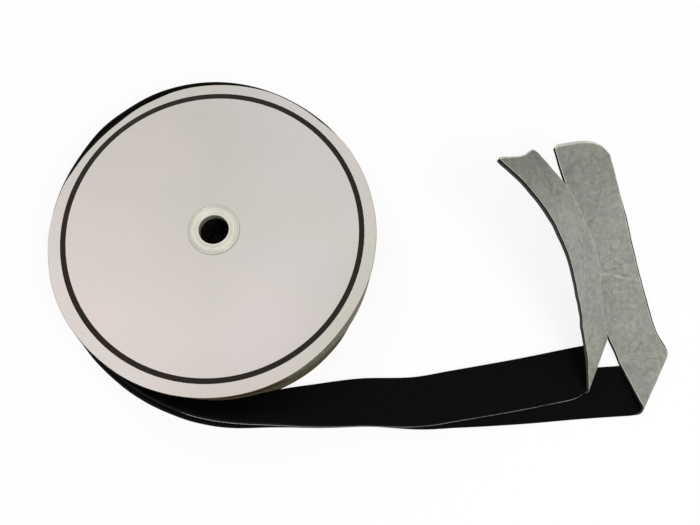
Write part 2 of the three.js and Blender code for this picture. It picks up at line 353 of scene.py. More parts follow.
def card_material():
    """The discs' coated card: greyer at the far side, the left and the lower right as painted shade,
    yellowed at the right rim, with a painted contact shadow round the bush."""
    s = Shader("card", roughness=0.62, specular=0.3)
    cloud = s.ramp(s.noise(8, 1), [(0.3, (213, 206, 204)), (0.5, (216, 207, 207)), (0.7, (219, 208, 209))])
    # Painted shade: the card is greyed towards the far side, the left and the lower right, as light falls
    # off across it.
    painted_shade = s.ramp(s.slope((0.35, 0.9)), [
        (0.18, WHITE), (0.4, (247, 248, 245)), (0.5, (240, 244, 241)), (0.6, (237, 242, 236)),
        (0.8, (233, 237, 233)),
    ])
    left = s.ramp(s.slope((1, 0)), [(0.3, (252, 251, 246)), (0.5, (249, 249, 246)), (0.72, WHITE)])
    painted_light = s.ramp(s.slope((0.6, -0.8)), [(0.74, WHITE), (0.86, (248, 249, 247)), (0.96, (238, 240, 236))])
    for shade in (painted_shade, left, painted_light):
        cloud = s.mix("MULTIPLY", 1.0, cloud, shade)
    margin = s.span(s.away(), 0.138, 0.152, 0.0, 1.0)
    rim = s.math("MULTIPLY", margin, s.span(s.slope((0.85, -0.3)), 0.5, 0.85, 0.0, 1.0))
    cloud = s.mix("MULTIPLY", rim, cloud, (253, 254, 248))
    # Painted shadow: a thin dark ring on the card round the front bush's flange.
    flange_shadow = s.apart(s.away(FRONT_BUSH_OFF), FLANGE_SHADOW_RADIUS)
    cloud = s.mix("MULTIPLY", s.span(flange_shadow, 0.0, FLANGE_SHADOW_WIDTH, 0.7, 0.0), cloud, (196, 194, 184))
    fibre = s.ramp(s.noise(900, 3, 0.6), [(0.35, (228, 228, 228)), (0.65, WHITE)])
    fleck = s.ramp(s.voronoi(420), [(0.0, (214, 214, 212)), (0.09, WHITE)])
    s.colour(s.mix("MULTIPLY", 1.0, s.mix("MULTIPLY", 0.35, cloud, fibre), fleck))
    s.roughness(s.span(s.noise(60, 3), 0.3, 0.7, 0.5, 0.68))
    s.bump((s.noise(700, 4), 0.1, 0.0002), (s.noise(35, 2), 0.12, 0.0008))
    return s.mat


def ink_material():
    s = Shader("printed_ink", roughness=0.6, specular=0.12)
    s.colour(s.ramp(s.noise(260, 4, 0.6), [(0.3, (24, 19, 14)), (0.6, (30, 25, 19)), (0.75, (41, 36, 29))]))
    s.roughness(s.span(s.noise(120, 3), 0.3, 0.7, 0.42, 0.6))
    s.bump((s.noise(700, 4), 0.1, 0.0002))
    return s.mat


def board_edge_material():
    s = Shader("board_edge", roughness=0.85, specular=0.2)
    layers = s.noise(60, 3, 0.6, stretch=(1, 1, 60))
    s.colour(s.ramp(layers, [(0.3, (78, 71, 53)), (0.55, (104, 96, 75)), (0.75, (132, 124, 103))]))
    s.bump((layers, 0.5, 0.0003))
    return s.mat


def board_material():
    """The discs' uncoated inner faces."""
    s = Shader("raw_board", roughness=0.9, specular=0.15)
    fibre = s.noise(420, 4, 0.65, stretch=(1, 0.5, 1))
    s.colour(s.ramp(fibre, [(0.3, (70, 64, 46)), (0.55, (84, 77, 57)), (0.75, (102, 94, 72))]))
    s.bump((fibre, 0.25, 0.0003), (s.noise(40, 2), 0.15, 0.0008))
    return s.mat


# Painted shade in the bush's grooves: radius and width in metres, strength, colour.
BUSH_GROOVE_SHADE = ((0.0234, 0.0007, 0.6, (190, 188, 170)), (0.0176, 0.0018, 0.45, (218, 217, 203)))


def bush_material():
    s = Shader("moulded_plastic", roughness=0.3, specular=0.5)
    s.bsdf.inputs["Subsurface Weight"].default_value = 0.06
    s.bsdf.inputs["Subsurface Scale"].default_value = 0.002
    base = s.ramp(s.noise(70, 3), [(0.3, (202, 200, 187)), (0.7, (211, 209, 197))])
    # Painted shade: thin darker rings where the bush's grooves lie in shade.
    for radius, width, share, groove_shade in BUSH_GROOVE_SHADE:
        off = s.apart(s.away(FRONT_BUSH_OFF), radius)
        base = s.mix("MULTIPLY", s.span(off, 0.0, width, share, 0.0), base, groove_shade)
    s.colour(base)
    s.roughness(s.span(s.noise(240, 3), 0.3, 0.7, 0.2, 0.34))
    s.bump((s.noise(320, 3), 0.06, 0.0003))
    return s.mat


def bore_material():
    """The bushes' inner walls, matt, in a darker copy of the bush's plastic as painted shade."""
    s = Shader("bore_plastic_painted_shade", roughness=0.75, specular=0.15)
    s.colour(s.ramp(s.noise(90, 3), [(0.3, (118, 118, 106)), (0.7, (140, 139, 127))]))
    s.bump((s.noise(320, 3), 0.1, 0.0003))
    return s.mat


def core_material():
    # Painted shade: the core's card is near black, so the bore looks dark inside.
    s = Shader("wound_card_painted_shade", roughness=0.9, specular=0.15)
    plies = s.noise(30, 3, 0.6, stretch=(1, 1, 14))
    s.colour(s.ramp(plies, [(0.3, (9, 9, 7)), (0.6, (14, 13, 10)), (0.8, (21, 19, 15))]))
    s.bump((plies, 0.3, 0.0004))
    return s.mat


def pack_material():
    """Edges of the wound layers: black tapes with grey liners between them."""
    s = Shader("wound_layers", roughness=0.9, specular=0.1)
    paper, tape_thickness = (120, 120, 112), 0.00145
    wobble = s.math("MULTIPLY", s.noise(25, 2), 0.0008)
    layer = s.math("FRACT", s.math("DIVIDE", s.math("ADD", s.away(), wobble), tape_thickness), 0.0)
    s.colour(s.ramp(layer, [(0.0, paper), (0.12, (20, 20, 19)), (0.9, (26, 26, 24)), (0.97, paper)]))
    s.bump((layer, 0.6, 0.0004), (s.noise(900, 2), 0.3, 0.0002))
    return s.mat


def hook_material():
    """Rows of small stiff hooks on a woven ground."""
    s = Shader("hook_face", roughness=0.95, specular=0.06)
    hooks = s.voronoi(1.05, space="UV", stretch=(0.9, 1.25, 1))
    rows = s.wave(0.33, "X", 0.4)
    s.colour(s.ramp(hooks, [(0.0, (16, 20, 17)), (0.35, (8, 10, 8)), (0.8, (4, 5, 4))]))
    s.bump((hooks, 0.8, 0.0005), (rows, 0.35, 0.0003), (s.noise(60, 2), 0.15, 0.0008))
    return s.mat


def loop_material():
    """A brushed pile of fine loops."""
    s = Shader("loop_face", roughness=1.0, specular=0.04)
    s.bsdf.inputs["Sheen Weight"].default_value = 0.02
    s.bsdf.inputs["Sheen Roughness"].default_value = 0.5
    curls = s.noise(1.7, 4, 0.7, space="UV")
    tufts = s.noise(0.35, 3, 0.6, space="UV", stretch=(1, 0.6, 1))
    s.colour(s.ramp(curls, [(0.3, (4, 5, 4)), (0.55, (9, 11, 9)), (0.75, (18, 20, 19))]))
    s.bump((curls, 0.9, 0.0006), (tufts, 0.5, 0.0010))
    return s.mat


def selvedge_material():
    """The tape's woven side and its bare margins."""
    s = Shader("tape_side", roughness=0.9, specular=0.12)
    weave = s.wave(0.55, "Y", 0.5)
    s.colour(s.ramp(s.math("ADD", s.math("MULTIPLY", weave, 0.5), s.math("MULTIPLY", s.noise(500, 2), 0.5)),
                    [(0.25, (10, 11, 9)), (0.55, (18, 19, 17)), (0.8, (30, 31, 28))]))
    s.bump((weave, 0.5, 0.0003))
    return s.mat


def side_sheen_material():
    """The free ends' sides and face margins, a paler grey as a painted sheen."""
    s = Shader("side_painted_sheen", roughness=0.95, specular=0.1)
    yarn = s.noise(700, 3, 0.6)
    s.colour(s.ramp(yarn, [(0.3, (50, 51, 46)), (0.55, (70, 71, 65)), (0.75, (96, 97, 90))]))
    s.bump((yarn, 0.5, 0.0003))
    return s.mat


def liner_material(name, roll_shade_to, tip, tip_shade, tone, crease=None):
    """Grey release paper, mottled by the adhesive under it, with painted shade on the roll and towards the
    tip.

    roll_shade_to, tip and crease are places along the strip in millimetres, and soiled is a reach and a
    shade.
    """
    s = Shader(name, roughness=0.5, specular=0.12)
    blot = s.noise(210, 4, 0.62)
    greys = {0.36: (126, 128, 122), 0.47: (134, 135, 129), 0.55: (140, 140, 133), 0.66: (149, 148, 141)}
    base = s.ramp(blot, [(place, tuple(tone * c for c in grey)) for place, grey in greys.items()])
    patch = s.ramp(s.noise(26, 2), [(0.35, (238, 241, 242)), (0.65, (255, 254, 250))])
    base = s.mix("MULTIPLY", 1.0, base, patch)
    swirl = s.apart(s.noise(62, 2, 0.5), 0.5)
    where = s.span(s.noise(40, 2), 0.42, 0.58, 0.1, 0.55)
    line = s.math("MULTIPLY", s.span(swirl, 0.0, 0.05, 1.0, 0.0), where)
    base = s.mix("MIX", line, base, (112, 113, 104))
    vein = s.span(s.cells(95, s.field(100, 2, 0.016)), 0.0, 0.1, 1.0, 0.0)
    pale = s.math("MULTIPLY", vein, s.span(s.noise(55, 2), 0.47, 0.6, 0.0, 0.28))
    base = s.mix("MIX", pale, base, (160, 160, 152))
    dot = s.span(s.voronoi(125), 0.04, 0.15, 1.0, 0.0)
    speck = s.math("MULTIPLY", dot, s.span(s.noise(80, 1), 0.4, 0.6, 0.1, 0.8))
    base = s.mix("MIX", speck, base, (176, 176, 168))
    pore = s.ramp(s.noise(900, 2, 0.6), [(0.3, (232, 232, 232)), (0.6, WHITE)])
    base = s.mix("MULTIPLY", 0.7, base, pore)
    across, along = s.strip_place()
    # Painted highlight: a pale line along the loop strip's crease stands in for the light on its ridge.
    if crease:
        slant = s.math("MULTIPLY", across, -CREASE_SLANT / TAPE_WIDTH)
        ridge = s.math("ADD", slant, s.math("MULTIPLY", s.noise(60, 2), 9.0))
        off = s.apart(s.math("ADD", along, ridge), crease + 4.5)
        crease_highlight = s.span(off, 0.2, 2.3, 1.0, 0.0)
        painted_light = s.math("MULTIPLY", crease_highlight, s.span(s.noise(130, 2), 0.4, 0.6, 0.1, 0.7))
        base = s.mix("MIX", painted_light, base, (176, 174, 161))
    # Painted shade: the paper is made darker over the last stretch towards the tip.
    reach, shade = tip_shade
    tip_shading = s.span(along, tip - reach, tip - 10, 0.0, 1.0)
    base = s.mix("MULTIPLY", tip_shading, base, (shade, shade, shade - 2))
    # Painted shade: the paper is made darker and olive on the roll, where it lies in shade under the front
    # disc.
    painted_shade = s.span(along, roll_shade_to - 500, roll_shade_to, 1.0, 0.0)
    s.colour(s.mix("MULTIPLY", painted_shade, base, (143, 135, 104)))
    s.roughness(s.span(blot, 0.3, 0.7, 0.4, 0.6))
    s.bump((blot, 0.25, 0.0008), (line, 0.4, 0.0004), (s.noise(900, 2), 0.08, 0.0001))
    return s.mat


def liner_edge_material():
    # The cut paper edge is pale; laid on the outer face's margins and tip it also gives a painted highlight.
    s = Shader("paper_edge_highlight", roughness=0.7, specular=0.3)
    s.colour(s.ramp(s.noise(120, 3), [(0.35, (170, 169, 161)), (0.65, (194, 192, 184))]))
    s.bump((s.noise(400, 2), 0.1, 0.0002))
    return s.mat


# ---- Meshes

def add_piece(name, verts, faces, materials, slots, body, uvs=None, sharp=35):
    """verts in millimetres from the reel's axis; slots gives each face's material."""
    verts = np.asarray(verts, float) * MM
    verts[:, 0] += AXIS_X
    verts[:, 1] += AXIS_Y
    mesh = bpy.data.meshes.new(name)
    mesh.from_pydata(verts.tolist(), [], [list(f) for f in faces])
    for material in materials:
        mesh.materials.append(material)
    mesh.polygons.foreach_set("material_index", np.asarray(slots, np.int32))
    mesh.polygons.foreach_set("use_smooth", np.ones(len(faces), bool))
    if uvs is not None:
        layer = mesh.uv_layers.new(name="UVMap")
        index = np.empty(len(mesh.loops), np.int32)
        mesh.loops.foreach_get("vertex_index", index)
        layer.data.foreach_set("uv", np.asarray(uvs, float)[index].ravel())
    mesh.validate()
    mesh.update()
    mesh.set_sharp_from_angle(angle=math.radians(sharp))
    piece = bpy.data.objects.new(name, mesh)
    bpy.context.collection.objects.link(piece)
    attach(piece, body)
    return piece


def turned(outline, sides, shape=None):
    """A closed outline of (radius, height) turned about the axis; shape moves each point."""
    outline = np.asarray(outline, float)
    count = len(outline)
    verts = []
    for i in range(sides):
        angle = 2 * math.pi * i / sides
        for radius, height in outline:
            if shape:
                radius, height = shape(radius, height, math.degrees(angle))
            verts.append((radius * math.cos(angle), radius * math.sin(angle), height))
    faces = []
    for i in range(sides):
        j = (i + 1) % sides
        for k in range(count):
            l = (k + 1) % count
            faces.append((i * count + k, j * count + k, j * count + l, i * count + l))
    return verts, faces


def arc(cx, cy, radius, start, end, steps):
    angles = np.radians(np.linspace(start, end, steps + 1))
    return [(cx + radius * math.cos(a), cy + radius * math.sin(a)) for a in angles]


# The die-cut rim isn't a true circle: its radius by angle.
RIM = {
    0: 160.9, 15: 160.1, 36: 159.6, 42: 158.2, 48: 156.8, 54: 157.4, 60: 158.2, 72: 159.4, 102: 159.4,
    120: 157.1, 132: 154.9, 144: 155, 150: 156.4, 168: 159.4, 186: 160.8, 204: 161.9, 230: 161.2,
    246: 161.9, 282: 162, 300: 161.8, 312: 160.8, 321: 159.9, 330: 160.2, 345: 161,
}
RIM_BLUR = 7


def rim_radius(angle):
    """The rim's radius at an angle, half sharp and half smoothed over RIM_BLUR degrees."""
    keys = sorted(RIM)
    angle %= 360
    xs = [keys[-2] - 360, keys[-1] - 360, *keys, keys[0] + 360, keys[1] + 360]
    ys = [RIM[keys[-2]], RIM[keys[-1]], *[RIM[k] for k in keys], RIM[keys[0]], RIM[keys[1]]]
    total = weight = 0.0
    for x, y in zip(xs, ys):
        w = math.exp(-(((angle - x) / RIM_BLUR) ** 2))
        total += w * y
        weight += w
    near = np.interp(angle, xs, ys)
    return near if weight < 1e-6 else 0.5 * near + 0.5 * total / weight


# A disc's materials, in the order of its slots.
CARD_FACE, INK_FACE, EDGE_FACE, BOARD_FACE = range(4)
# Where round the reel the back disc's rim swells, in degrees.
SWELL_ANGLE, SWELL_WIDTH = 299, 28
# The radii from which a disc's rim is out of round and its card is warped, and the warp's reach.
UNEVEN_START = 150
WARP_START, WARP_REACH = 60, 100


def disc(name, base, node, body, turn, printed_up, warp, swell=0.0):
    """A die-cut card disc with a printed ring on its outer face.

    turn moves its rim's shape round in degrees, and warp is its height in millimetres and its phase.
    """
    hole = BUSH_BARREL / 2 + SEAT_GAP
    top = base + DISC_THICKNESS
    rings = [30, 60, 100, 130, RING_INNER, RING_OUTER, 155]
    low = [(hole, base), *[(r, base) for r in rings]]
    rim = DISC_RADIUS
    edge = [(rim - 0.35, base), (rim, base + 0.4), (rim, top - 0.4), (rim - 0.35, top)]
    high = [*[(r, top) for r in reversed(rings)], (hole, top)]
    outline = low + edge + high

    def shape(radius, height, angle):
        share = max(0.0, (radius - UNEVEN_START) / (DISC_RADIUS - UNEVEN_START))
        bulge = swell * math.exp(-(((angle - SWELL_ANGLE) / SWELL_WIDTH) ** 2))
        radius += share * (rim_radius(angle + turn) - DISC_RADIUS + bulge)
        lift, phase = warp
        far = max(0, (radius - WARP_START) / WARP_REACH)
        lift *= far ** 2 * (1 + math.sin(math.radians(2 * angle + phase)))
        return radius, height + lift

    sides = 288
    verts, faces = turned(outline, sides, shape)
    count = len(outline)
    slots = []
    for i in range(sides):
        for k in range(count):
            a, b = outline[k], outline[(k + 1) % count]
            face = CARD_FACE
            if len(low) <= k < len(low) + 3 or k == count - 1:
                face = EDGE_FACE
            outside = a[1] == b[1] == (top if printed_up else base)
            if outside and {a[0], b[0]} == {RING_INNER, RING_OUTER}:
                face = INK_FACE
            if a[1] == b[1] == (base if printed_up else top):
                face = BOARD_FACE
            slots.append(face)
    piece = add_piece(name, verts, faces, [CARD, INK, BOARD_EDGE, BOARD], slots, body)
    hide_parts(node)


def bush(name, base, node, flip, bore_face, off=(0, 0)):
    """A flanged bush: thin lip, rounded bead, soft bore mouth, tapered barrel.

    flip turns it upside down, and off is how far it sits off the axis.
    """
    bore, barrel, flange = BUSH_BORE / 2, BUSH_BARREL / 2 - math.hypot(*off), BUSH_FLANGE / 2
    thick = BUSH_FLANGE_THICKNESS
    foot = -BUSH_REACH
    outline = [(bore + 0.25, foot), (barrel - 0.8, foot), (barrel - 0.45, foot + 0.5), (barrel, -0.3)]
    outline += [(barrel + 0.3, 0), (flange - 0.5, 0)]
    outline += arc(flange - 0.5, 0.5, 0.5, -60, 90, 6)
    outline += [(flange - 1.5, 1.0)]
    outline += arc(flange - 1.9 - 1.25, thick - 1.25, 1.25, 0, 100, 10)
    outline += [(flange - 3.6, thick - 0.4), (flange - 4.4, thick - 0.7)]
    outline += [(bore + 2.9, thick - 0.7), (bore + 2.1, thick - 0.35)]
    outline += arc(bore + 1.0, thick - 1.15, 1.0, 75, 180, 8)
    outline += [(bore, foot + 0.4)]
    sign = -1 if flip else 1
    sides = 144
    verts, faces = turned(outline, sides)
    verts = [(x + off[0], sign * y + off[1], base + sign * z) for x, y, z in verts]
    count = len(outline)
    slots = [1 if k in (0, count - 2, count - 1) else 0 for _ in range(sides) for k in range(count)]
    piece = add_piece(name, verts, faces, [BUSH, bore_face], slots, "roll", sharp=50)
    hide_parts(node)


def wound_layers():
    """The pack between the discs; its layers' edges lie at slightly uneven heights."""
    inner, outer = CORE_RADIUS + SEAT_GAP, PACK_RADIUS
    low, high = PACK_BASE, PACK_BASE + TAPE_WIDTH
    rings = np.linspace(inner, outer, 46)
    sink = [0.0, 0.12, 0.05, 0.18, 0.02, 0.1]
    outline = [(r, low + sink[i % len(sink)]) for i, r in enumerate(rings)]
    outline += [(outer, low + 16), (outer, low + 34)]
    outline += [(r, high - sink[i % len(sink)]) for i, r in reversed(list(enumerate(rings)))]
    verts, faces = turned(outline, 144)
    piece = add_piece("wound_layers", verts, faces, [PACK], np.zeros(len(faces)), "roll")
    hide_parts("wound_pack")


# ---- The strips' paths, as in the part's source

# Steps: degrees round the roll, then millimetres along the lead and along the free end.
TURN_STEP, LEAD_STEP, END_STEP = 1.5, 3, 2
FOLD_STEPS = 18
# How softly the turn goes over into the lead, in degrees, and where a path's bend there is smoothed:
# within BEND_SPAN millimetres, over BEND_REACH stations with a width of BEND_WIDTH.
CORNER_SOFTNESS = 1.2
BEND_SPAN, BEND_REACH, BEND_WIDTH = 36, 9, 3


def turn_radius(angle):
    spiral = START_RADIUS + PITCH * (angle - START_ANGLE) / 360
    return spiral + LOOSE_RISE * smooth((angle - LOOSE_START) / (TANGENT_ANGLE - LOOSE_START))


def slack(angle):
    """How far the loop strip stands off the roll at its slack stretch."""
    share = (angle - SLACK_ANGLE) / SLACK_HALF
    bulge = SLACK_BULGE * math.cos(share * math.pi / 2) ** 2 if abs(share) < 1 else 0.0
    return bulge + sum(high * math.exp(-(((angle - at) / wide) ** 2)) for high, at, wide in SLACK_WAVES)


def turn_station(angle, bulge):
    """The lower edge, the upper edge and the way out at an angle round the roll."""
    a = math.radians(angle)
    out = np.array([math.cos(a), math.sin(a), 0.0])
    inner = out * (turn_radius(angle) + bulge)
    inner[2] = PACK_BASE
    return inner, inner + UP * TAPE_WIDTH, out


def lead_route():
    """The lower edge's route: a centripetal curve, by distance along it."""
    start = turn_station(TANGENT_ANGLE, 0)[0]
    a = math.radians(LEAD_HEADING)
    along, aside = np.array([math.cos(a), math.sin(a), 0]), np.array([-math.sin(a), math.cos(a), 0])
    pts = [start + along * run * LEAD_RUN + aside * side * TAPE_WIDTH for run, side in LEAD_SIDE_SHARES]
    pts = [2 * pts[0] - pts[1], *pts, 2 * pts[-1] - pts[-2]]
    dense = []
    for p0, p1, p2, p3 in zip(pts, pts[1:], pts[2:], pts[3:]):
        d0, d1, d2 = (max(np.linalg.norm(b - c) ** 0.5, 1e-4) for b, c in ((p0, p1), (p1, p2), (p2, p3)))
        t1 = ((p1 - p0) / d0 - (p2 - p0) / (d0 + d1) + (p2 - p1) / d1) * d1
        t2 = ((p2 - p1) / d1 - (p3 - p1) / (d1 + d2) + (p3 - p2) / d2) * d1
        square, cube = 3 * (p2 - p1) - 2 * t1 - t2, 2 * (p1 - p2) + t1 + t2
        for t in np.linspace(0, 1, 80, endpoint=False):
            dense.append(p1 + t1 * t + square * t * t + cube * t ** 3)
    dense.append(pts[-2])
    dense = np.array(dense)
    gone = np.concatenate([[0], np.cumsum(np.linalg.norm(np.diff(dense, axis=0), axis=1))])
    slope = np.gradient(dense, gone, axis=0)

    def at(distance):
        p = np.array([np.interp(distance, gone, dense[:, i]) for i in range(3)])
        t = np.array([np.interp(distance, gone, slope[:, i]) for i in range(3)])
        return p, t / np.linalg.norm(t)

    return at


ARC_LENGTH = math.radians(TANGENT_ANGLE - LEAVE_ANGLE) * turn_radius(LEAVE_ANGLE)


def parting(run):
    """How far the loop strip has drawn apart from the hook strip at run past the tangent."""
    past = max(run - PARTING_START, 0)
    eased = past * past / (2 * PARTING_EASE) if past < PARTING_EASE else past - PARTING_EASE / 2
    return eased * math.tan(math.radians(PARTING_ANGLE))


def lead_station(distance, is_loop, route):
    """As turn_station, at a distance past the leave angle: the strip leans outward and comes to lie flat."""
    run = distance - ARC_LENGTH
    angle = TANGENT_ANGLE + math.degrees(run / turn_radius(LEAVE_ANGLE))
    foot, ahead = route(max(run, 0))
    if run < 0:
        foot = turn_station(angle, 0)[0]
    bends = np.array([angle - 270, math.degrees(math.atan2(ahead[1], ahead[0]))])
    a = math.radians(-CORNER_SOFTNESS * math.log(np.exp(-bends / CORNER_SOFTNESS).sum()))
    heading = np.array([math.cos(a), math.sin(a), 0])
    aside = np.array([heading[1], -heading[0], 0])
    fall = math.sin(math.radians(LEAN(distance))) + (STAND_OFF(angle) / TAPE_WIDTH if is_loop else 0)
    lean = math.asin(min(fall, 1))
    across = UP * math.cos(lean) + aside * math.sin(lean)
    inner = foot + aside * ((parting(run) if is_loop else 0) - TUCK(run))
    inner[2] = PACK_BASE + (STACK - PACK_BASE) * smooth((run - SETTLE_START) / SETTLE_LENGTH)
    return inner, inner + across * TAPE_WIDTH, np.cross(heading, across)


def rounded(points, runs):
    """Points along the lead with their bend at the tangent rounded off."""
    kernel = np.exp(-0.5 * (np.arange(-BEND_REACH, BEND_REACH + 1) / BEND_WIDTH) ** 2)
    wide = np.pad(points, ((BEND_REACH, BEND_REACH), (0, 0)), mode="edge")
    soft = np.stack([np.convolve(wide[:, i], kernel / kernel.sum(), "valid") for i in range(3)], 1)
    return points + np.exp(-((runs / BEND_SPAN) ** 4))[:, None] * (soft - points)


def turned_vector(v, axis, angle):
    """v turned about a unit axis by an angle in radians."""
    part = axis * np.dot(axis, v) * (1 - math.cos(angle))
    return v * math.cos(angle) + np.cross(axis, v) * math.sin(angle) + part


def end_stations(last, fold):
    """The fold round a slanting line, then the free end with its bends, twists and slanting cut."""
    inner0, outer0, back = last
    left = (inner0 - outer0) / np.linalg.norm(inner0 - outer0)
    forward = -np.cross(left, back)
    rise = -back
    slope = math.radians(fold["line"]) - math.atan2(forward[1], forward[0])
    line = forward * math.cos(slope) + left * math.sin(slope)
    ahead = forward * math.sin(slope) - left * math.cos(slope)
    slant = TAPE_WIDTH / math.tan(slope)
    shift = SEAT_GAP + FOLD_MARGIN
    fold_inner, fold_outer = inner0 + forward * (shift + slant), outer0 + forward * shift
    stations = []
    for share in np.arange(END_STEP, slant, END_STEP) / slant:
        inner = inner0 + forward * share * (shift + slant)
        stations.append((inner, outer0 + forward * share * shift, back))
    for i in range(FOLD_STEPS + 1):
        a = math.radians(fold["angle"]) * i / FOLD_STEPS
        move = line * fold["radius"] * a / math.tan(slope)
        move = move + ahead * fold["radius"] * math.sin(a) + rise * fold["radius"] * (1 - math.cos(a))
        stations.append((fold_inner + move, fold_outer + move, -rise * math.cos(a) + ahead * math.sin(a)))
    turn = math.radians(fold["angle"])
    away = ahead * math.cos(turn) + rise * math.sin(turn)
    forward = line * math.cos(slope) + away * math.sin(slope)
    width = line * math.sin(slope) - away * math.cos(slope)
    folded = stations[-1]
    flat_outer = folded[0] + forward * FOLD_MARGIN - width * TAPE_WIDTH
    pieces = int(slant / END_STEP)
    for i in range(1, pieces + 1):
        share = i / pieces
        inner = folded[0] + forward * FOLD_MARGIN * share
        outer = folded[1] + (flat_outer - folded[1]) * share
        stations.append((inner, outer, np.cross(width, forward)))
    middle = folded[0] + forward * FOLD_MARGIN - width * TAPE_WIDTH / 2
    half = TAPE_WIDTH / 2
    lengths, bends, twists = (np.array(x, float) for x in zip(*fold["stretches"]))
    centres = np.cumsum(lengths) - lengths / 2
    total = lengths.sum()
    count = round(total / END_STEP)
    pace = total / count
    for i in range(count):
        place = (i + 0.5) * pace
        bend = math.radians(np.interp(place, centres, bends / lengths)) * pace
        twist = math.radians(np.interp(place, centres, twists / lengths)) * pace
        forward = turned_vector(forward, width, bend)
        width = turned_vector(width, forward, twist)
        middle = middle + forward * pace
        stations.append((middle + width * half, middle - width * half, np.cross(width, forward)))
    for _ in range(round(END_REACH / END_STEP)):
        middle = middle + forward * END_STEP
        stations.append((middle + width * half, middle - width * half, np.cross(width, forward)))
    return stations


def rounded_corner(edge, corner, shift, reach):
    """An edge moved by shift at a fold's corner, fading over reach."""
    near = np.exp(-((np.linalg.norm(edge - corner, axis=1) / reach) ** 2))
    return edge + near[:, None] * np.array(shift)


def strip_path(is_loop):
    """The black face of a strip from the outer turn's start past its tip, and the distance along it."""
    stations = []
    fold = LOOP_END if is_loop else HOOK_END
    depth = LOOP_TAPE_DEPTH if is_loop else 0.0
    for angle in np.arange(START_ANGLE, LEAVE_ANGLE, TURN_STEP):
        stations.append(turn_station(angle, slack(angle) if is_loop else 0.0))
    leave = len(stations)
    length = ARC_LENGTH + fold["run"]
    route = lead_route()
    gone = np.linspace(0, length, round(length / LEAD_STEP))
    inner, outer, back = (np.array(x) for x in zip(*[lead_station(d, is_loop, route) for d in gone]))
    stations += zip(rounded(inner, gone - ARC_LENGTH), rounded(outer, gone - ARC_LENGTH), back)
    stations = [(inner + back * depth, outer + back * depth, back) for inner, outer, back in stations]
    bent = len(stations)
    stations += end_stations(stations[-1], fold)
    inner, outer, back = (np.array(x) for x in zip(*stations))
    crest = bent + int(np.argmax(np.abs(back[bent:, 2]) < 0.35))
    if is_loop:
        inner = rounded_corner(inner, inner[crest], (-2, -3, 0), 9)
    else:
        outer = rounded_corner(outer, outer[crest], (0, 3.9, 0.5), 8)
    middle = (inner + outer) / 2
    along = np.concatenate([[0], np.cumsum(np.linalg.norm(np.diff(middle, axis=0), axis=1))])
    return dict(inner=inner, outer=outer, back=back, along=along, fold=along[bent], leave=along[leave],
                tip=along[-1] - END_REACH, cut=LOOP_CUT if is_loop else HOOK_CUT)


# ---- Strips

def at(path, along):
    """Inner edge, outer edge and back direction at a distance along the path."""
    s = path["along"]
    k = min(max(int(np.searchsorted(s, along)) - 1, 0), len(s) - 2)
    t = (along - s[k]) / max(s[k + 1] - s[k], 1e-9)
    mix = [path[key][k] * (1 - t) + path[key][k + 1] * t for key in ("inner", "outer", "back")]
    return mix[0], mix[1], mix[2] / np.linalg.norm(mix[2])


def strip_mesh(path, shares, layer, inset, reach, slots):
    """A closed slab along a path: layer(v, s) gives its near and far depth, inset(s) its two margins.

    reach is how much longer it is than the path. slots are the materials of the near face, the far face,
    the sides, the two faces' margins, and the free end's sides.
    """
    body = [s for s in path["along"] if s < path["tip"] - CUT_REACH]
    tail = np.linspace(path["tip"] - CUT_REACH, path["tip"], 17)
    cut_v, cut_d = zip(*path["cut"])
    verts, uvs = [], []
    for s in [*body, *tail]:
        into = max(0.0, (s - tail[0]) / CUT_REACH)
        low, high = inset(s)
        rows = []
        for share in shares:
            v = (low + share * (TAPE_WIDTH - low - high)) / TAPE_WIDTH
            here = s + into * (float(np.interp(v, cut_v, cut_d)) + reach)
            inner, outer, back = at(path, here)
            near, far = layer(v, here)
            point = inner + (outer - inner) * v
            rows.append((point + back * near, point + back * far, (v * TAPE_WIDTH, here)))
        for near, _, uv in rows:
            verts.append(near)
            uvs.append(uv)
        for _, far, uv in reversed(rows):
            verts.append(far)
            uvs.append(uv)
    columns = len(shares) - 1
    ring = 2 * (columns + 1)
    count = len(body) + len(tail)
    near_slot, far_slot, side_slot, near_edge, far_edge, free_slot = slots
    last = count - 3
    faces, indices = [], []
    for i in range(count - 1):
        free = i >= len(body) or body[i] > path["fold"] + SHEEN_START
        for k in range(ring):
            l = (k + 1) % ring
            faces.append((i * ring + k, i * ring + l, (i + 1) * ring + l, (i + 1) * ring + k))
            if k < columns:
                indices.append((free_slot if free else near_edge) if k in (0, columns - 1) else near_slot)
            elif k in (columns, ring - 1):
                indices.append(free_slot if free else side_slot)
            else:
                indices.append(far_edge if k in (columns + 1, ring - 2) or i > last else far_slot)
    for base, flip in ((0, True), ((count - 1) * ring, False)):
        for k in range(columns):
            quad = (base + k, base + k + 1, base + ring - 2 - k, base + ring - 1 - k)
            faces.append(tuple(reversed(quad)) if flip else quad)
            indices.append(side_slot)
    return verts, faces, indices, uvs


def flow(*keys):
    """A value by distance along a strip, eased between (distance, value) keys."""
    def value(s):
        for (s0, v0), (s1, v1) in zip(keys, keys[1:]):
            if s < s1:
                return v0 + (v1 - v0) * smooth((s - s0) / (s1 - s0))
        return keys[-1][1]
    return value


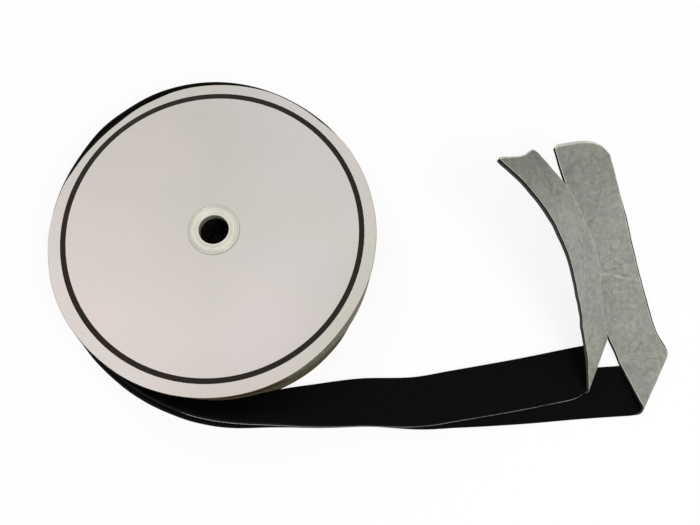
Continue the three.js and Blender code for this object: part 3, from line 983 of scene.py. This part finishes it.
def build_strip(name, is_loop, nodes, liner_nodes):
    """A strip's tape, with its pile, and the release liner on its back."""
    path = strip_path(is_loop)
    seed = 11.0 if is_loop else 3.0
    fold, leave, tip = path["fold"], path["leave"], path["tip"]
    thick = LOOP_TAPE if is_loop else HOOK_TAPE
    if is_loop:
        pile = flow((0, 0.1), (fold - 175, 0.1), (fold - 110, 0.6), (fold + 40, 0.6), (fold + 90, 0.8),
                    (tip - 80, 0.8), (tip - 30, 1.8))
        high_inset = flow((0, 1.2), (leave, 1.2), (fold, 0.8), (fold + 60, 1.5))
        low_inset = flow((0, 0.6), (fold, 0.6), (fold + 60, 1.2), (tip - 80, 1.2), (tip - 30, -0.3))
    else:
        pile = flow((0, 0.05), (leave, 0.1), (leave + 60, 0.6), (fold + 10, 0.6), (fold + 60, 1.2),
                    (tip - 50, 1.7))
        low_inset = flow((0, 1.0), (fold, 1.0), (fold + 50, -0.3))
        high_inset = flow((0, 1.6), (leave + 92, 1.6), (leave + 120, -0.1), (leave + 155, -0.35),
                          (fold, -0.35), (fold + 50, 1.3), (fold + 120, 1.6), (tip - 20, 2.6))

    def lift(v, s):
        """The free end's undulation, with the loop strip's crease or the hook tip's curled corner."""
        free = smooth((s - fold - 40) / 50)
        wave = free * 1.2 * noise.noise(Vector((s / 34, v * 1.3, seed)))
        side = 9.0 if v < 0.5 else 2.0
        edge = free * 0.7 * noise.noise(Vector((s / 12, side, seed))) * abs(2 * v - 1) ** 4
        if is_loop:
            past = s - fold - CREASE_AT - CREASE_SLANT * v - 3 * noise.noise(Vector((v * 4, 1, 5)))
            detail = 0.9 * math.exp(-((past / 1.7) ** 2))
        else:
            detail = -2.4 * smooth((s - tip + 12) / 14) * smooth((0.22 - v) / 0.22)
        return wave + edge + detail

    def tape_layer(v, s):
        margin = smooth(min(v, 1 - v) / 0.012)
        off = lift(v, s)
        return off - pile(s) * margin, off + thick

    def paper_layer(v, s):
        off = lift(v, s)
        bubble = 0.3 * max(0.0, noise.noise(Vector((s / 15, v * 3.2, seed + 4)))) * smooth((s - fold) / 20)
        near = off + thick + 0.04 + bubble
        if s < leave:
            near = off + thick + PLY_GAP
        return near, near + LINER

    shares = np.array([0, 0.012, 0.035, *np.linspace(0.075, 0.925, 22), 0.965, 0.988, 1])
    slots = (0, 1, 1, 1, 1, 2)
    verts, faces, indices, uvs = strip_mesh(path, shares, tape_layer, lambda s: (0, 0), 0, slots)
    # The free ends' sides take the paler side material as a painted sheen.
    cloth = [LOOP_FACE if is_loop else HOOK_FACE, SELVEDGE, SIDE_SHEEN]
    tape = add_piece(f"{name}_strip", verts, faces, cloth, indices, "roll", uvs)
    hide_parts(*nodes)

    def paper_inset(s):
        wavy = 0.2 * noise.noise(Vector((s / 21, 0, seed + 7)))
        return low_inset(s) + wavy, high_inset(s) - wavy

    paper_shares = np.array([0, 0.012, *np.linspace(0.04, 0.96, 24), 0.988, 1])
    # The outer face's margins and tip take the pale edge material as a painted highlight.
    slots = (0, 0, 1, 0, 1, 0)
    verts, faces, indices, uvs = strip_mesh(path, paper_shares, paper_layer, paper_inset, 0.8, slots)
    if is_loop:
        sheet = liner_material("loop_release_paper", leave, tip, (75, 226), 1.085, fold + CREASE_AT)
    else:
        sheet = liner_material("hook_release_paper", leave, tip, (90, 203), 1.13)
    sheets = [sheet, PAPER_EDGE_HIGHLIGHT]
    paper = add_piece(f"{name}_liner", verts, faces, sheets, indices, "roll", uvs)
    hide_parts(*liner_nodes)
    print(f"{name} strip: {path['tip']:.0f} mm, folded at {fold:.0f}")


# ---- Floor and light

# The floor's half side in metres, how much of it shows plain white, and how far it lies under the part.
FLOOR_REACH = 6.0
FLOOR_GLOW = 0.87
FLOOR_DROP = 0.0004


def seen_rays(tree):
    """1 for the rays that show the background: camera, glossy and transmission."""
    path = tree.nodes.new("ShaderNodeLightPath")
    total = path.outputs["Is Camera Ray"]
    for kind in ("Is Glossy Ray", "Is Transmission Ray"):
        either = tree.nodes.new("ShaderNodeMath")
        either.operation = "MAXIMUM"
        tree.links.new(total, either.inputs[0])
        tree.links.new(path.outputs[kind], either.inputs[1])
        total = either.outputs[0]
    return total


def make_stage():
    """A pale floor that keeps the shadow, with a painted shadow under the bore, and a white world."""
    mesh = bpy.data.meshes.new("floor")
    r = FLOOR_REACH
    mesh.from_pydata([(-r, -r, 0), (r, -r, 0), (r, r, 0), (-r, r, 0)], [], [(0, 1, 2, 3)])
    floor = bpy.data.objects.new("floor", mesh)
    floor.location.z = -FLOOR_DROP
    bpy.context.collection.objects.link(floor)
    mat = bpy.data.materials.new("floor")
    mat.use_nodes = True
    tree = mat.node_tree
    bsdf = tree.nodes["Principled BSDF"]
    bsdf.inputs["Roughness"].default_value = 0.9
    bsdf.inputs["Specular IOR Level"].default_value = 0.1
    glow = tree.nodes.new("ShaderNodeEmission")
    glow.inputs["Strength"].default_value = 1.0
    coord = tree.nodes.new("ShaderNodeTexCoord")
    apart = tree.nodes.new("ShaderNodeVectorMath")
    apart.operation = "DISTANCE"
    apart.inputs[1].default_value = (AXIS_X, AXIS_Y, 0)
    tree.links.new(coord.outputs["Object"], apart.inputs[0])
    clear = tree.nodes.new("ShaderNodeMapRange")
    clear.interpolation_type = "SMOOTHSTEP"
    for key, value in (("From Min", 0.06), ("From Max", 0.14), ("To Min", 0), ("To Max", FLOOR_GLOW)):
        clear.inputs[key].default_value = value
    tree.links.new(apart.outputs["Value"], clear.inputs["Value"])
    # Painted shadow: the floor's colour is near black under the bore and pale beyond.
    pale = tree.nodes.new("ShaderNodeValToRGB")
    stops = ((0.02, (0.02, 0.02, 0.018, 1)), (0.06, (0.9, 0.9, 0.89, 1)))
    for element, (place, colour) in zip(pale.color_ramp.elements, stops):
        element.position, element.color = place, colour
    tree.links.new(apart.outputs["Value"], pale.inputs["Fac"])
    tree.links.new(pale.outputs["Color"], bsdf.inputs["Base Color"])
    share = tree.nodes.new("ShaderNodeMath")
    share.operation = "MULTIPLY"
    mix = tree.nodes.new("ShaderNodeMixShader")
    tree.links.new(seen_rays(tree), share.inputs[0])
    tree.links.new(clear.outputs["Result"], share.inputs[1])
    tree.links.new(share.outputs[0], mix.inputs[0])
    tree.links.new(bsdf.outputs[0], mix.inputs[1])
    tree.links.new(glow.outputs[0], mix.inputs[2])
    tree.links.new(mix.outputs[0], tree.nodes["Material Output"].inputs["Surface"])
    mesh.materials.append(mat)

    world = bpy.data.worlds.new("world")
    world.use_nodes = True
    tree = world.node_tree
    back = tree.nodes["Background"]
    back.inputs["Color"].default_value = (1, 1, 1, 1)
    level = tree.nodes.new("ShaderNodeMapRange")
    level.inputs["To Min"].default_value = 0.5
    level.inputs["To Max"].default_value = 1.0
    tree.links.new(seen_rays(tree), level.inputs["Value"])
    tree.links.new(level.outputs["Result"], back.inputs["Strength"])
    bpy.context.scene.world = world


def area_light(name, place, target, size, power):
    data = bpy.data.lights.new(name, "AREA")
    data.shape = "DISK"
    data.size = size
    data.energy = power
    lamp = bpy.data.objects.new(name, data)
    lamp.location = place
    lamp.rotation_euler = (Vector(target) - Vector(place)).to_track_quat("-Z", "Y").to_euler()
    bpy.context.collection.objects.link(lamp)


def make_lights():
    area_light("key", (0.75, -0.85, 2.05), (0.05, 0, 0), 1.3, 31)
    area_light("fill", (-0.9, 1.2, 1.7), (0.0, 0, 0), 0.6, 9)


make_camera()
CARD, INK, BOARD_EDGE, BOARD = card_material(), ink_material(), board_edge_material(), board_material()
BUSH, BORE = bush_material(), bore_material()
CORE, PACK = core_material(), pack_material()
HOOK_FACE, LOOP_FACE = hook_material(), loop_material()
SELVEDGE, SIDE_SHEEN = selvedge_material(), side_sheen_material()
PAPER_EDGE_HIGHLIGHT = liner_edge_material()

make_stage()
make_lights()
disc("front_cover_disc", FRONT_DISC_BASE, "front_disc", "front_cover", 0, True, (0.5, 30))
disc("back_cover_disc", BACK_DISC_BASE, "back_disc", "back_cover", 75, False, (-0.4, 80), swell=2.4)
bush("front_flanged_bush", FRONT_BUSH_BASE, "bush_front", False, BORE, FRONT_BUSH_OFF)
# The back bush's bore takes the core's near-black material as painted shade.
bush("back_flanged_bush", BUSH_FLANGE_THICKNESS, "bush_back", True, CORE)
wound_layers()
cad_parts["core_tube"].material_slots[0].material = CORE
build_strip("hook", False, ["hook_tape_turn", "hook_tape_lead", "hook_tape_end"],
            ["hook_liner_turn", "hook_liner_lead", "hook_liner_end"])
build_strip("loop", True, ["loop_tape_turn", "loop_tape_lead", "loop_tape_end"],
            ["loop_liner_turn", "loop_liner_lead", "loop_liner_end"])

bpy.context.scene.view_settings.view_transform = "Standard"
